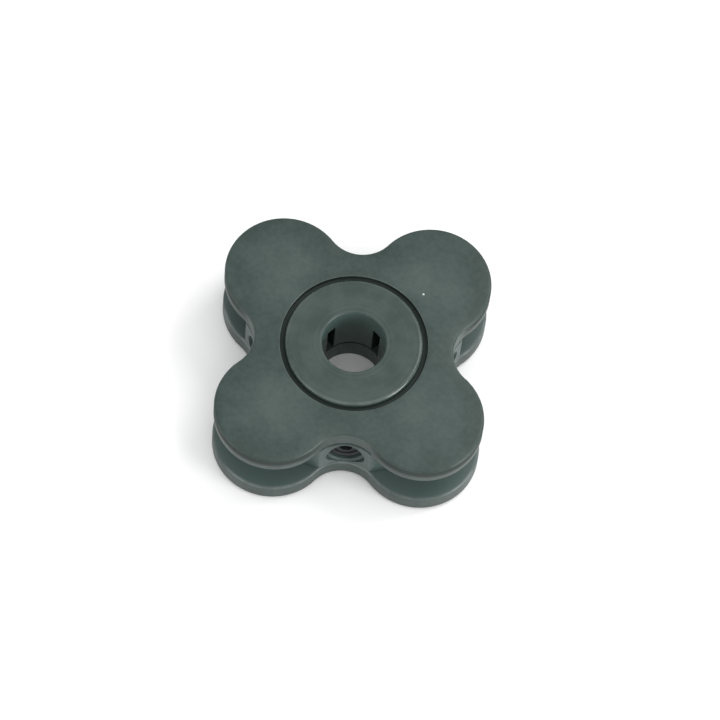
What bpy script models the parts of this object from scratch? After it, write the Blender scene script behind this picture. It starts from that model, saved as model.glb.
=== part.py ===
"""Pin-type Oldham coupling: two four-lobed hubs and the floating disc that slides between them.

Metres, +Z up along the bore. The lower hub's outer face lies on z = 0 and the bore is on the Z axis.
The lower hub's drive pins lie along X, and the upper hub's along Y. Each pair slides and turns in
the bushes of the floating disc, so the hubs may be out of line by a small distance and angle.
"""

import math

import bmesh
import bpy
from mathutils import Matrix, Vector

MM = 0.001

# Four-lobed flange plates
LOBE_SPACING = 18.3 * MM  # between the centres of neighbouring lobes
LOBE_RADIUS = 7.45 * MM
WAIST_RADIUS = 12.35 * MM  # from the bore's axis to the floor of a notch
PLATE_THICKNESS = 2.9 * MM
PLATE_EDGE_ROUND = 0.35 * MM

# Turned hubs, pressed into the plates
BORE_RADIUS = 4.0 * MM
BORE_CHAMFER = 0.12 * MM
BOSS_RADIUS = 8.5 * MM
BOSS_PROUD = 0.3 * MM  # how far the boss stands out of its plate
BOSS_EDGE_ROUND = 0.25 * MM
GROOVE_WIDTH = 0.65 * MM  # the recess in the plate round the boss
GROOVE_DEPTH = 0.6 * MM
EAR_WALL = 3.5 * MM  # radial thickness of the ears that carry the drive pins

# Floating disc
DISC_RADIUS = 13.85 * MM
DISC_EDGE_ROUND = 0.2 * MM
DISC_WEB = 0.48 * MM  # metal left above and below each bush hole
HOLE_MOUTH_CHAMFER = 0.2 * MM

# Drive pins and bushes
PIN_RADIUS = 1.5 * MM
PIN_END_ROUND = 0.15 * MM
PIN_RECESS = 0.8 * MM  # from the notch floor in to the pin's outer end
PIN_FLOOR = 0.8 * MM  # metal left between a pin and the bore
SOCKET_ACROSS_FLATS = 1.5 * MM
SOCKET_DEPTH = 1.3 * MM
BUSH_WALL = 0.55 * MM
BUSH_RECESS = 0.6 * MM  # from the notch floor in to the bush's outer end
BUSH_CHAMFER = 0.12 * MM

# Travel and clearances
SLIDE_TRAVEL = 0.7 * MM  # each way, of a hub along its own pins
AXIAL_CLEARANCE = 0.3 * MM  # between the disc and each plate, and beyond each ear
FREE_CLEARANCE = 0.25 * MM  # left between the ears, and round them, at full travel
RUNNING_CLEARANCE = 0.03 * MM
PRESS_CLEARANCE = 0.02 * MM

# How finely round shapes are divided
TURNED_STEPS = 96
PIN_STEPS = 32
LOBE_STEPS = 26
WAIST_STEPS = 14
DISC_STEPS = 12

# Places that follow from the sizes above
BUSH_RADIUS = PIN_RADIUS + RUNNING_CLEARANCE + BUSH_WALL
BUSH_HOLE_RADIUS = BUSH_RADIUS + RUNNING_CLEARANCE
DISC_THICKNESS = 2 * (BUSH_HOLE_RADIUS + DISC_WEB)
PLATE_GAP = DISC_THICKNESS + 2 * AXIAL_CLEARANCE
HUB_THICKNESS = BOSS_PROUD + PLATE_THICKNESS
TOTAL_HEIGHT = 2 * HUB_THICKNESS + PLATE_GAP
PIN_HEIGHT = TOTAL_HEIGHT / 2
EAR_RADIUS = BORE_RADIUS + EAR_WALL
EAR_TIP = HUB_THICKNESS + PLATE_GAP - AXIAL_CLEARANCE
EAR_GAP = math.sqrt(2) * SLIDE_TRAVEL + FREE_CLEARANCE
DISC_INNER_RADIUS = EAR_RADIUS + SLIDE_TRAVEL + FREE_CLEARANCE
LOBE_OFFSET = LOBE_SPACING / 2
# A waist is an arc that touches both lobes beside it, so its centre lies on the axis between them.
LOBE_TO_WAIST = LOBE_RADIUS - WAIST_RADIUS
WAIST_CENTRE = (2 * LOBE_OFFSET**2 - LOBE_TO_WAIST**2) / (2 * (LOBE_OFFSET + LOBE_TO_WAIST))
WAIST_ARC_RADIUS = WAIST_CENTRE - WAIST_RADIUS

BLACK_ALUMINIUM = ("black_aluminium", (0.075, 0.09, 0.085), 0.42, 0.6)
BLACK_STEEL = ("black_steel", (0.05, 0.055, 0.055), 0.35, 0.85)
BLACK_POLYMER = ("black_polymer", (0.03, 0.032, 0.032), 0.55, 0.0)


def clear_scene():
    for obj in list(bpy.data.objects):
        bpy.data.objects.remove(obj, do_unlink=True)


def collection(name, helper=False):
    made = bpy.data.collections.new(name)
    bpy.context.scene.collection.children.link(made)
    made.hide_render = helper
    return made


def material(name, colour, roughness, metallic):
    made = bpy.data.materials.new(name)
    made.use_nodes = True
    shader = made.node_tree.nodes["Principled BSDF"]
    shader.inputs["Base Color"].default_value = (*colour, 1)
    shader.inputs["Roughness"].default_value = roughness
    shader.inputs["Metallic"].default_value = metallic
    return made


def add_object(name, data, group, finish=None):
    obj = bpy.data.objects.new(name, data)
    group.objects.link(obj)
    if finish:
        data.materials.append(finish)
    return obj


def make_cutter(name, mesh, cutters):
    obj = add_object(name, mesh, cutters)
    obj.hide_render = True
    obj.display_type = "WIRE"
    return obj


def cut(obj, cutter, solver="EXACT"):
    step = obj.modifiers.new(cutter.name, "BOOLEAN")
    step.operation = "DIFFERENCE"
    step.solver = solver
    step.object = cutter


def round_edges(obj, width, segments):
    step = obj.modifiers.new("rounded_edges", "BEVEL")
    step.width = width
    step.segments = segments
    step.limit_method = "ANGLE"
    step.angle_limit = math.radians(35)


def shade_round(mesh):
    mesh.shade_smooth()
    mesh.set_sharp_from_angle(angle=math.radians(35))


def arc(centre, radius, start, end, steps):
    """Points along an arc, without its last one, which starts the next arc."""
    turn = (end - start) / steps
    angles = [start + turn * i for i in range(steps)]
    return [centre + radius * Vector((math.cos(angle), math.sin(angle))) for angle in angles]


def turned_mesh(name, profile, steps, axis="Z"):
    """A solid of revolution from (radius, height) points that run down its outer side."""
    mesh = bpy.data.meshes.new(name)
    points = [(radius, 0, height) for radius, height in profile]
    edges = [(i, (i + 1) % len(points)) for i in range(len(points))]
    mesh.from_pydata(points, edges, [])
    obj = bpy.data.objects.new(name, mesh)
    bpy.context.scene.collection.objects.link(obj)
    screw = obj.modifiers.new("turn", "SCREW")
    screw.axis = "Z"
    screw.steps = steps
    screw.render_steps = steps
    screw.use_merge_vertices = True
    screw.merge_threshold = 0.00001
    solid = realised(obj, name)
    if axis == "X":
        half_step = Matrix.Rotation(math.pi / steps, 4, "Z")
        solid.transform(Matrix.Rotation(math.pi / 2, 4, "Y") @ half_step)
    shade_round(solid)
    return solid


def realised(obj, name):
    """The object's evaluated shape as a plain mesh. The object itself is removed."""
    bpy.context.view_layer.update()
    graph = bpy.context.evaluated_depsgraph_get()
    mesh = bpy.data.meshes.new_from_object(obj.evaluated_get(graph))
    bpy.data.objects.remove(obj, do_unlink=True)
    form = bmesh.new()
    form.from_mesh(mesh)
    bmesh.ops.remove_doubles(form, verts=form.verts, dist=0.000001)
    bmesh.ops.recalc_face_normals(form, faces=form.faces)
    form.to_mesh(mesh)
    form.free()
    mesh.name = name
    return mesh


def plate_mesh(name, outline, bottom, thickness, hole_radius=None):
    """A flat plate. Its round hole has a point for each point of the outline, so the faces between are quads."""
    form = bmesh.new()
    loops = []
    for height in (bottom, bottom + thickness):
        loops.append([form.verts.new((point.x, point.y, height)) for point in outline])
    if hole_radius:
        for height in (bottom + thickness, bottom):
            rim = [point.normalized() * hole_radius for point in outline]
            loops.append([form.verts.new((point.x, point.y, height)) for point in rim])
        loops.append(loops[0])
    else:
        form.faces.new(loops[0])
        form.faces.new(loops[1])
    for first, second in zip(loops, loops[1:]):
        for i in range(len(outline)):
            form.faces.new((first[i - 1], first[i], second[i], second[i - 1]))
    bmesh.ops.recalc_face_normals(form, faces=form.faces)
    mesh = bpy.data.meshes.new(name)
    form.to_mesh(mesh)
    form.free()
    shade_round(mesh)
    return mesh


def quatrefoil():
    """The plates' outline: four lobe arcs joined by four waist arcs that touch them."""
    points = []
    lobe = Vector((LOBE_OFFSET, LOBE_OFFSET))
    waist = Vector((0, WAIST_CENTRE))
    towards_waist = (waist - lobe).angle_signed(Vector((1, 0)))
    lobe_start = math.pi / 2 - towards_waist
    for quarter in range(4):
        turn = Matrix.Rotation(quarter * math.pi / 2, 2)
        around_lobe = arc(lobe, LOBE_RADIUS, lobe_start, towards_waist, LOBE_STEPS)
        waist_start = towards_waist + math.pi
        waist_end = 3 * math.pi - waist_start
        around_waist = arc(waist, WAIST_ARC_RADIUS, waist_start, waist_end, WAIST_STEPS)
        points += [turn @ point for point in around_lobe + around_waist]
    return points


def scalloped_circle():
    """The disc's outline: a circle that the plates' waist arcs bite into, so both are flush there."""
    cosine = (DISC_RADIUS**2 + WAIST_CENTRE**2 - WAIST_ARC_RADIUS**2) / (2 * DISC_RADIUS * WAIST_CENTRE)
    half_bite = math.acos(cosine)
    waist = Vector((0, WAIST_CENTRE))
    half_sweep = math.acos((WAIST_CENTRE - DISC_RADIUS * math.cos(half_bite)) / WAIST_ARC_RADIUS)
    straight_in = -math.pi / 2
    points = []
    for quarter in range(4):
        turn = Matrix.Rotation(quarter * math.pi / 2, 2)
        rim = arc(Vector((0, 0)), DISC_RADIUS, half_bite, math.pi / 2 - half_bite, DISC_STEPS)
        bite = arc(waist, WAIST_ARC_RADIUS, straight_in + half_sweep, straight_in - half_sweep, WAIST_STEPS)
        points += [turn @ point for point in rim + bite]
    return points


def make_flange(name, group, cutters, finish):
    """A four-lobed plate with a seat for the hub and the shallow ring recess round its boss."""
    mesh = plate_mesh(name, quatrefoil(), BOSS_PROUD, PLATE_THICKNESS)
    flange = add_object(name, mesh, group, finish)
    round_edges(flange, PLATE_EDGE_ROUND, 3)
    seat = BOSS_RADIUS + PRESS_CLEARANCE
    recess = BOSS_RADIUS + GROOVE_WIDTH
    recess_floor = BOSS_PROUD + GROOVE_DEPTH
    over = PLATE_THICKNESS
    profile = [
        (0, HUB_THICKNESS + over),
        (seat, HUB_THICKNESS + over),
        (seat, recess_floor),
        (recess, recess_floor),
        (recess, -over),
        (0, -over),
    ]
    cut(flange, make_cutter(name + "_seat", turned_mesh(name + "_seat", profile, TURNED_STEPS), cutters))
    return flange


def hub_profile():
    """Half a section through the hub: boss, then the ring that the ears are cut from."""
    edge = BOSS_EDGE_ROUND
    shoulder = [
        (BOSS_RADIUS - edge * (1 - math.sin(angle)), edge * (1 - math.cos(angle)))
        for angle in (math.pi / 2, math.pi / 3, math.pi / 6, 0)
    ]
    return [
        (BORE_RADIUS, EAR_TIP),
        (EAR_RADIUS, EAR_TIP),
        (EAR_RADIUS, HUB_THICKNESS),
        (BOSS_RADIUS, HUB_THICKNESS),
        *shoulder,
        (BORE_RADIUS + BORE_CHAMFER, 0),
        (BORE_RADIUS, BORE_CHAMFER),
    ]


def ear_gap_mesh(name, side):
    """Half of what separates the two ears: a square prism on edge, with its corner past the bore's axis."""
    across = 4 * EAR_RADIUS
    height = 2 * (EAR_TIP - HUB_THICKNESS)
    form = bmesh.new()
    bmesh.ops.create_cube(form, size=1)
    bmesh.ops.scale(form, vec=(across, across, height), verts=form.verts)
    bmesh.ops.rotate(form, cent=(0, 0, 0), matrix=Matrix.Rotation(math.pi / 4, 3, "Z"), verts=form.verts)
    corner_to_centre = across / math.sqrt(2)
    past_axis = EAR_GAP / math.sqrt(2)
    place = (0, side * (corner_to_centre - past_axis), HUB_THICKNESS + height / 2)
    bmesh.ops.translate(form, vec=place, verts=form.verts)
    mesh = bpy.data.meshes.new(name)
    form.to_mesh(mesh)
    form.free()
    return mesh


def make_hub(name, group, cutters, finish):
    """A turned hub whose bored ring is cut into two ears, each drilled for a drive pin."""
    hub = add_object(name, turned_mesh(name, hub_profile(), TURNED_STEPS), group, finish)
    for side, label in ((1, "a"), (-1, "b")):
        gap_name = f"{name}_ear_gap_{label}"
        cut(hub, make_cutter(gap_name, ear_gap_mesh(gap_name, side), cutters))
    hole = PIN_RADIUS + PRESS_CLEARANCE
    floor = BORE_RADIUS + PIN_FLOOR - PRESS_CLEARANCE
    beyond = EAR_RADIUS + EAR_WALL
    for side, label in ((1, "a"), (-1, "b")):
        hole_name = f"{name}_pin_hole_{label}"
        profile = [(0, beyond), (hole, beyond), (hole, floor), (0, floor)]
        mesh = turned_mesh(hole_name, profile, PIN_STEPS, "X")
        mesh.transform(Matrix.Translation((0, 0, PIN_HEIGHT)) @ Matrix.Rotation(side_turn(side), 4, "Z"))
        cut(hub, make_cutter(hole_name, mesh, cutters))
    return hub


def side_turn(side):
    return 0 if side > 0 else math.pi


def make_disc(name, group, cutters, finish):
    """The floating ring between the plates, with a bushed radial hole in each waist."""
    mesh = plate_mesh(name, scalloped_circle(), -DISC_THICKNESS / 2, DISC_THICKNESS, DISC_INNER_RADIUS)
    disc = add_object(name, mesh, group, finish)
    round_edges(disc, DISC_EDGE_ROUND, 2)
    mouth_radius = BUSH_HOLE_RADIUS + HOLE_MOUTH_CHAMFER
    beyond = 2 * DISC_RADIUS
    profile = [
        (0, beyond),
        (mouth_radius, beyond),
        (mouth_radius, WAIST_RADIUS),
        (BUSH_HOLE_RADIUS, WAIST_RADIUS - HOLE_MOUTH_CHAMFER),
        (BUSH_HOLE_RADIUS, EAR_RADIUS),
        (0, EAR_RADIUS),
    ]
    for quarter in range(4):
        hole_name = f"{name}_bush_hole_{quarter + 1}"
        hole = turned_mesh(hole_name, profile, PIN_STEPS, "X")
        hole.transform(Matrix.Rotation(quarter * math.pi / 2, 4, "Z"))
        # Each hole breaks through both curved walls of the ring, which EXACT doesn't solve.
        cut(disc, make_cutter(hole_name, hole, cutters), "MANIFOLD")
    return disc


def bush_mesh(name):
    """A plain bush from just inside the disc's ring to just short of the notch floor."""
    inside = PIN_RADIUS + RUNNING_CLEARANCE
    inner_end = DISC_INNER_RADIUS + RUNNING_CLEARANCE
    outer_end = WAIST_RADIUS - BUSH_RECESS
    chamfer = BUSH_CHAMFER
    profile = [
        (inside, outer_end),
        (BUSH_RADIUS - chamfer, outer_end),
        (BUSH_RADIUS, outer_end - chamfer),
        (BUSH_RADIUS, inner_end + chamfer),
        (BUSH_RADIUS - chamfer, inner_end),
        (inside, inner_end),
    ]
    return turned_mesh(name, profile, PIN_STEPS, "X")


def make_pin(name, group, cutters, finish):
    """A drive pin from inside its ear, out through the bush, with a hexagon socket to turn it by."""
    inner_end = BORE_RADIUS + PIN_FLOOR
    outer_end = WAIST_RADIUS - PIN_RECESS
    edge = PIN_END_ROUND
    profile = [
        (0, outer_end),
        (PIN_RADIUS - edge, outer_end),
        (PIN_RADIUS, outer_end - edge),
        (PIN_RADIUS, inner_end + edge),
        (PIN_RADIUS - edge, inner_end),
        (0, inner_end),
    ]
    pin = add_object(name, turned_mesh(name, profile, PIN_STEPS, "X"), group, finish)
    form = bmesh.new()
    corner_radius = SOCKET_ACROSS_FLATS / math.sqrt(3)
    bmesh.ops.create_cone(
        form, cap_ends=True, segments=6, radius1=corner_radius, radius2=corner_radius, depth=2 * SOCKET_DEPTH
    )
    bmesh.ops.rotate(form, cent=(0, 0, 0), matrix=Matrix.Rotation(math.pi / 2, 3, "Y"), verts=form.verts)
    bmesh.ops.translate(form, vec=(outer_end, 0, 0), verts=form.verts)
    socket = bpy.data.meshes.new(name + "_socket")
    form.to_mesh(socket)
    form.free()
    cutter = make_cutter(name + "_socket", socket, cutters)
    cut(pin, cutter)
    return pin, cutter


def motion_frame(name, parent, group):
    """An empty at the crossing of the pin axes, where every joint of the coupling turns or slides."""
    frame = bpy.data.objects.new(name, None)
    group.objects.link(frame)
    frame.empty_display_size = DISC_RADIUS
    if parent:
        frame.parent = parent
    else:
        frame.location = (0, 0, PIN_HEIGHT)
    return frame


def seat_on(obj, frame, height=0.0, turn=0.0, flip=False):
    """Places a piece at a height above the pin plane of its frame."""
    obj.parent = frame
    obj.location = (0, 0, height)
    obj.rotation_euler = (math.pi if flip else 0, 0, turn)


def main():
    clear_scene()
    parts = collection("oldham_coupling")
    cutters = collection("cutters", helper=True)
    aluminium = material(*BLACK_ALUMINIUM)
    steel = material(*BLACK_STEEL)
    polymer = material(*BLACK_POLYMER)

    lower = motion_frame("lower_hub_frame", None, parts)
    slide_x = motion_frame("slide_x_frame", lower, parts)
    tilt_x = motion_frame("tilt_x_frame", slide_x, parts)
    tilt_y = motion_frame("tilt_y_frame", tilt_x, parts)
    slide_y = motion_frame("slide_y_frame", tilt_y, parts)

    quarter = math.pi / 2
    for level, frame, turn, flip in (("lower", lower, 0, False), ("upper", slide_y, quarter, True)):
        height = PIN_HEIGHT if flip else -PIN_HEIGHT
        flange = make_flange(level + "_flange", parts, cutters, aluminium)
        hub = make_hub(level + "_hub", parts, cutters, aluminium)
        for piece in (flange, hub):
            seat_on(piece, frame, height, turn, flip)
            for step in piece.modifiers:
                if step.type == "BOOLEAN":
                    seat_on(step.object, frame, height, turn, flip)

    disc = make_disc("floating_disc", parts, cutters, aluminium)
    seat_on(disc, tilt_x)
    for step in disc.modifiers:
        if step.type == "BOOLEAN":
            seat_on(step.object, tilt_x)

    for index, side in enumerate(("right", "back", "left", "front")):
        along_x = index % 2 == 0
        bush = add_object("bush_" + side, bush_mesh("bush_" + side), parts, polymer)
        seat_on(bush, slide_x if along_x else tilt_y, turn=index * quarter)
        pin, socket = make_pin("drive_pin_" + side, parts, cutters, steel)
        for piece in (pin, socket):
            seat_on(piece, lower if along_x else slide_y, turn=index * quarter)


main()
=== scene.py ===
# %% [markdown]
# # A pin-type Oldham coupling
#
# The coupling joins two shafts that don't quite line up. Each shaft has a hub with a four-lobed
# plate, and a ring floats between the two. Pins that stand out of the lower hub slide in the ring
# along X, and pins of the upper hub slide in it along Y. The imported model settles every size, so
# this script measures it and rebuilds each piece with finer edges and a real finish.

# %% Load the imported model
import math

import bmesh
import bpy
import numpy as np
from mathutils import Matrix, Vector


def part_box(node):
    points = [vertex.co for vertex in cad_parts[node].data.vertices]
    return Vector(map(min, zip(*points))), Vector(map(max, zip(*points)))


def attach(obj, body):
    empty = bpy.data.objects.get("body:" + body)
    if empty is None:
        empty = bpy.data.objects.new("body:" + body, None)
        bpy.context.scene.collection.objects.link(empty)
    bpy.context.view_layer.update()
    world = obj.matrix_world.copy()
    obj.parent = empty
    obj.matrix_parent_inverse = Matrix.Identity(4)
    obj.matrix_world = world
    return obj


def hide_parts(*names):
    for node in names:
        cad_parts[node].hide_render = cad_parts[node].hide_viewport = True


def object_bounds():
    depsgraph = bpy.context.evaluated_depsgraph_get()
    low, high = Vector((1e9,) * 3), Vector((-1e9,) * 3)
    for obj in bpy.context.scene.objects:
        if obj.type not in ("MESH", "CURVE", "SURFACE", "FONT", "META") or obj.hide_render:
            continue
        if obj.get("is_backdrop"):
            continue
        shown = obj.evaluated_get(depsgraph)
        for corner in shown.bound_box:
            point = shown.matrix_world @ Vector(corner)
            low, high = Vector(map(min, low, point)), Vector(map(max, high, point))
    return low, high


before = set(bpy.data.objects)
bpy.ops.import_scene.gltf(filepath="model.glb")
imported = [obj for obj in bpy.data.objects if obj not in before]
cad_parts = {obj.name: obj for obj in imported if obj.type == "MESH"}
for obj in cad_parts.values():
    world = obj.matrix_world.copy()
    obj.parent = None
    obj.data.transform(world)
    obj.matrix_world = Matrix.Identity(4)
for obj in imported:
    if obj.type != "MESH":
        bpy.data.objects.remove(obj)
cad_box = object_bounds()
MM = 0.001
CLOSE = 0.01 * MM  # lengths nearer than this count as the same

# %% [markdown]
# ## Sizes, read from the model
#
# A lobe or a bore could be typed in again here, but then a change to the model would leave the looks
# behind. Instead, each size comes from the vertices of the model's own pieces: the farthest one from
# the axis gives the lobes, the nearest one gives the bore, and so on.


# %% Measure the model
SEAT_MARGIN = 0.1 * MM


def vertices_of(node):
    places = np.array([vertex.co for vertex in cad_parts[node].data.vertices])
    return places, np.hypot(places[:, 0], places[:, 1])


plate_low, plate_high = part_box("upper_flange")
hub_low, hub_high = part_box("upper_hub")
disc_low, disc_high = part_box("floating_disc")
mid_height = (disc_low.z + disc_high.z) / 2

plate, plate_radius = vertices_of("upper_flange")
on_top = plate[:, 2] > plate_high.z - CLOSE
on_axis = (abs(plate[:, 0]) < CLOSE) & (plate[:, 1] > 0)
waist_reach = plate[on_axis, 1].max()
edge_round = plate_radius.max() - plate_radius[on_top].max()
seat_radius = plate_radius.min()
recess_radius = plate_radius[on_top].min()
past_seat = plate_radius > seat_radius + SEAT_MARGIN
inside_recess = past_seat & (plate_radius < recess_radius + CLOSE)
recess_floor = plate[inside_recess, 2].min()
print(f"recess {seat_radius / MM:.2f} to {recess_radius / MM:.2f} mm")
print(f"its floor at {recess_floor / MM:.2f} mm")
print(f"notch floor at {waist_reach / MM:.2f} mm, edges rounded {edge_round / MM:.2f} mm")

# %% [markdown]
# The outline is four lobe arcs and four waist arcs. Least squares finds the circle that runs through
# the vertices of one lobe, whose centre is as far along X as along Y. The waist arc touches both of
# its lobes, so its centre lies on the axis between them, and its distance from a lobe's centre is the
# sum of the two radii.

# %% Fit the lobes and work out the waists
LOBE_BEGINS = 0.6 * waist_reach
above_edge = plate[:, 2] > plate_low.z + edge_round - CLOSE
below_edge = plate[:, 2] < plate_high.z - edge_round + CLOSE
on_lobe = above_edge & below_edge & (plate[:, 0] > LOBE_BEGINS) & (plate[:, 1] > LOBE_BEGINS)
sums = plate[on_lobe, 0] + plate[on_lobe, 1]
squares = plate_radius[on_lobe] ** 2
terms = np.column_stack([sums, np.full(len(sums), MM)])
(twice_offset, constant), *_ = np.linalg.lstsq(terms, squares, rcond=None)
lobe_offset = twice_offset / 2
lobe_radius = math.sqrt(constant * MM + 2 * lobe_offset**2)
half_width = lobe_offset + lobe_radius
lobe_to_waist = lobe_radius - waist_reach
waist_centre = (2 * lobe_offset**2 - lobe_to_waist**2) / (2 * (lobe_offset + lobe_to_waist))
waist_radius = waist_centre - waist_reach
print(f"lobes {lobe_radius / MM:.2f} mm, centred {lobe_offset / MM:.2f} mm along X and Y")
print(f"waist arcs {waist_radius / MM:.2f} mm, centred {waist_centre / MM:.2f} mm out")

# %% Measure the hub, the disc, the bushes and the pins
hub, hub_radius = vertices_of("upper_hub")
boss_radius = hub_radius.max()
bore_radius = hub_radius.min()
in_ears = hub[:, 2] < plate_low.z - CLOSE
ear_radius = hub_radius[in_ears].max()
ear_gap = math.sqrt(2) * (abs(hub[in_ears, 1]) - abs(hub[in_ears, 0])).min()
on_boss = hub[:, 2] > hub_high.z - CLOSE
boss_round = boss_radius - hub_radius[on_boss].max()
bore_chamfer = hub_radius[on_boss].min() - bore_radius

disc, disc_radius_at = vertices_of("floating_disc")
disc_radius = disc_radius_at.max()
disc_inner = disc_radius_at.min()

pin_low, pin_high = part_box("drive_pin_right")
bush_low, bush_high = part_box("bush_right")
pin_places = vertices_of("drive_pin_right")[0]
bush_places = vertices_of("bush_right")[0]
pin_radius = np.hypot(pin_places[:, 1], pin_places[:, 2] - mid_height).max()
bush_distances = np.hypot(bush_places[:, 1], bush_places[:, 2] - mid_height)
bush_radius = bush_distances.max()
running_clearance = bush_distances.min() - pin_radius
print(f"boss {boss_radius / MM:.2f} mm, bore {bore_radius / MM:.2f} mm")
print(f"ears {ear_radius / MM:.2f} mm")
print(f"disc {disc_inner / MM:.2f} to {disc_radius / MM:.2f} mm")
print(f"pins {pin_radius / MM:.2f} mm, bushes {bush_radius / MM:.2f} mm")
print(f"clearance {running_clearance / MM:.2f} mm")

# %% [markdown]
# ## Helpers for node trees
#
# Both Geometry Nodes and shaders are trees of nodes. These helpers add a node, fill its sockets with
# numbers or links, and do arithmetic, so that each tree below reads like the rule that it follows.
# A pattern follows a point's place in its piece, so no finish needs an unwrapped surface.


# %% Node helpers
def node(tree, kind, settings=None, sockets=None):
    made = tree.nodes.new(kind)
    for name, value in (settings or {}).items():
        setattr(made, name, value)
    for key, value in (sockets or {}).items():
        socket = made.inputs[key]
        if isinstance(value, bpy.types.NodeSocket):
            tree.links.new(value, socket)
        else:
            socket.default_value = value
    return made


def maths(tree, operation, *values, clamp=False):
    settings = {"operation": operation, "use_clamp": clamp}
    return node(tree, "ShaderNodeMath", settings, dict(enumerate(values))).outputs[0]


def vector_maths(tree, operation, *values):
    made = node(tree, "ShaderNodeVectorMath", {"operation": operation}, dict(enumerate(values)))
    return made.outputs["Value" if operation in ("LENGTH", "DISTANCE", "DOT_PRODUCT") else "Vector"]


def scaled(tree, vector, size):
    made = node(tree, "ShaderNodeVectorMath", {"operation": "SCALE"}, {0: vector, "Scale": size})
    return made.outputs[0]


def joined(tree, **parts):
    return node(tree, "ShaderNodeCombineXYZ", None, parts).outputs[0]


def parts_of(tree, vector):
    return node(tree, "ShaderNodeSeparateXYZ", None, {0: vector}).outputs


def smooth_step(tree, value, start, end):
    """0 to 1 as the value goes from start to end, slow at both ends."""
    sockets = {"Value": value, "From Min": start, "From Max": end}
    settings = {"interpolation_type": "SMOOTHSTEP"}
    return node(tree, "ShaderNodeMapRange", settings, sockets).outputs[0]


def own_place(tree):
    """A point's place in its piece's own space, so that a finish moves with the piece."""
    return node(tree, "ShaderNodeTexCoord").outputs["Object"]


def from_axis(tree):
    """A point's distance from the bore's axis."""
    place = parts_of(tree, own_place(tree))
    return vector_maths(tree, "LENGTH", joined(tree, X=place["X"], Y=place["Y"]))


def new_tree(name, kind, inputs, outputs):
    tree = bpy.data.node_groups.new(name, kind)
    for label, socket_type, default in inputs:
        socket = tree.interface.new_socket(label, in_out="INPUT", socket_type=socket_type)
        if default is not None:
            socket.default_value = default
    for label, socket_type in outputs:
        tree.interface.new_socket(label, in_out="OUTPUT", socket_type=socket_type)
    return tree, tree.nodes.new("NodeGroupInput").outputs, tree.nodes.new("NodeGroupOutput").inputs


FLOAT = "NodeSocketFloat"
COUNT = "NodeSocketInt"
OBJECT = "NodeSocketObject"
MATERIAL = "NodeSocketMaterial"
GEOMETRY = "NodeSocketGeometry"
print("node helpers ready")

# %% [markdown]
# ## Shared finish: shader groups
#
# The coupling is black all over, but each surface takes the light in its own way. Each effect is a
# group with its own inputs: a soft cloudiness that blackening leaves, the fine grain of a blasted
# surface, the rings that a lathe leaves, small bright nicks, and the paler middle of each lobe, which
# is partly rubbing and partly a painted sheen. A group puts out only masks and heights. Every finish
# feeds them to its own shader with its own strengths.


# %% Cloudiness and grain groups
def cloud_group():
    """0 to 1, drifting slowly over the surface, as blackening does."""
    tree, given, out = new_tree(
        "Clouding", "ShaderNodeTree", [("Patch Size", FLOAT, 4 * MM)], [("Mask", FLOAT)]
    )
    scale = maths(tree, "DIVIDE", 1.0, given["Patch Size"])
    wide = node(
        tree, "ShaderNodeTexNoise", None,
        {"Vector": own_place(tree), "Scale": scale, "Detail": 3.0, "Roughness": 0.55},
    )
    # Noise seldom nears 0 or 1, so its middle is spread over the whole range.
    tree.links.new(smooth_step(tree, wide.outputs[0], 0.3, 0.7), out["Mask"])
    return tree


def grain_group():
    """The height of a fine blasted grain, about 0 to 1."""
    tree, given, out = new_tree(
        "Blasted Grain", "ShaderNodeTree", [("Grain Size", FLOAT, 0.12 * MM)], [("Height", FLOAT)]
    )
    scale = maths(tree, "DIVIDE", 1.0, given["Grain Size"])
    grain = node(
        tree, "ShaderNodeTexNoise", None,
        {"Vector": own_place(tree), "Scale": scale, "Detail": 2.0, "Roughness": 0.6},
    )
    tree.links.new(grain.outputs[0], out["Height"])
    return tree


clouding = cloud_group()
blasted_grain = grain_group()
print("made", clouding.name, "and", blasted_grain.name)


# %% Lathe mark, nick and lobe groups
SLOW_CHANGE = 0.45  # how often the rings' tone changes, in changes for each turn
WAVE_SHARE = 0.25


def lathe_group():
    """Rings round the Z axis: a regular feed mark broken up by slower changes from ring to ring."""
    tree, given, out = new_tree(
        "Lathe Marks", "ShaderNodeTree",
        [("Feed", FLOAT, 0.12 * MM), ("Unevenness", FLOAT, 0.6)],
        [("Height", FLOAT), ("Tone", FLOAT)],
    )
    turns = maths(tree, "DIVIDE", from_axis(tree), given["Feed"])
    wave = maths(tree, "SINE", maths(tree, "MULTIPLY", turns, 2 * math.pi))
    slow = node(
        tree, "ShaderNodeTexNoise", {"noise_dimensions": "1D"},
        {"W": maths(tree, "MULTIPLY", turns, SLOW_CHANGE), "Scale": 1.0, "Detail": 3.0},
    ).outputs[0]
    uneven = maths(tree, "MULTIPLY", maths(tree, "SUBTRACT", slow, 0.5), given["Unevenness"])
    height = maths(tree, "ADD", maths(tree, "MULTIPLY", wave, WAVE_SHARE), uneven)
    tree.links.new(height, out["Height"])
    tree.links.new(slow, out["Tone"])
    return tree


def nick_group():
    """1 on a few small nicks, 0 elsewhere. Their size is a share of their spacing."""
    tree, given, out = new_tree(
        "Bright Nicks", "ShaderNodeTree",
        [("Spacing", FLOAT, 1.6 * MM), ("Nick Size", FLOAT, 0.05), ("Share", FLOAT, 0.25)],
        [("Mask", FLOAT)],
    )
    scale = maths(tree, "DIVIDE", 1.0, given["Spacing"])
    cells = node(tree, "ShaderNodeTexVoronoi", None, {"Vector": own_place(tree), "Scale": scale})
    near = maths(tree, "LESS_THAN", cells.outputs["Distance"], given["Nick Size"])
    pick = node(tree, "ShaderNodeSeparateColor", None, {0: cells.outputs["Color"]})
    chosen = maths(tree, "LESS_THAN", pick.outputs[0], given["Share"])
    tree.links.new(maths(tree, "MULTIPLY", near, chosen), out["Mask"])
    return tree


# The paler middle of each lobe is partly rubbing and partly a painted sheen, as a slightly domed face
# catches.
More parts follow.
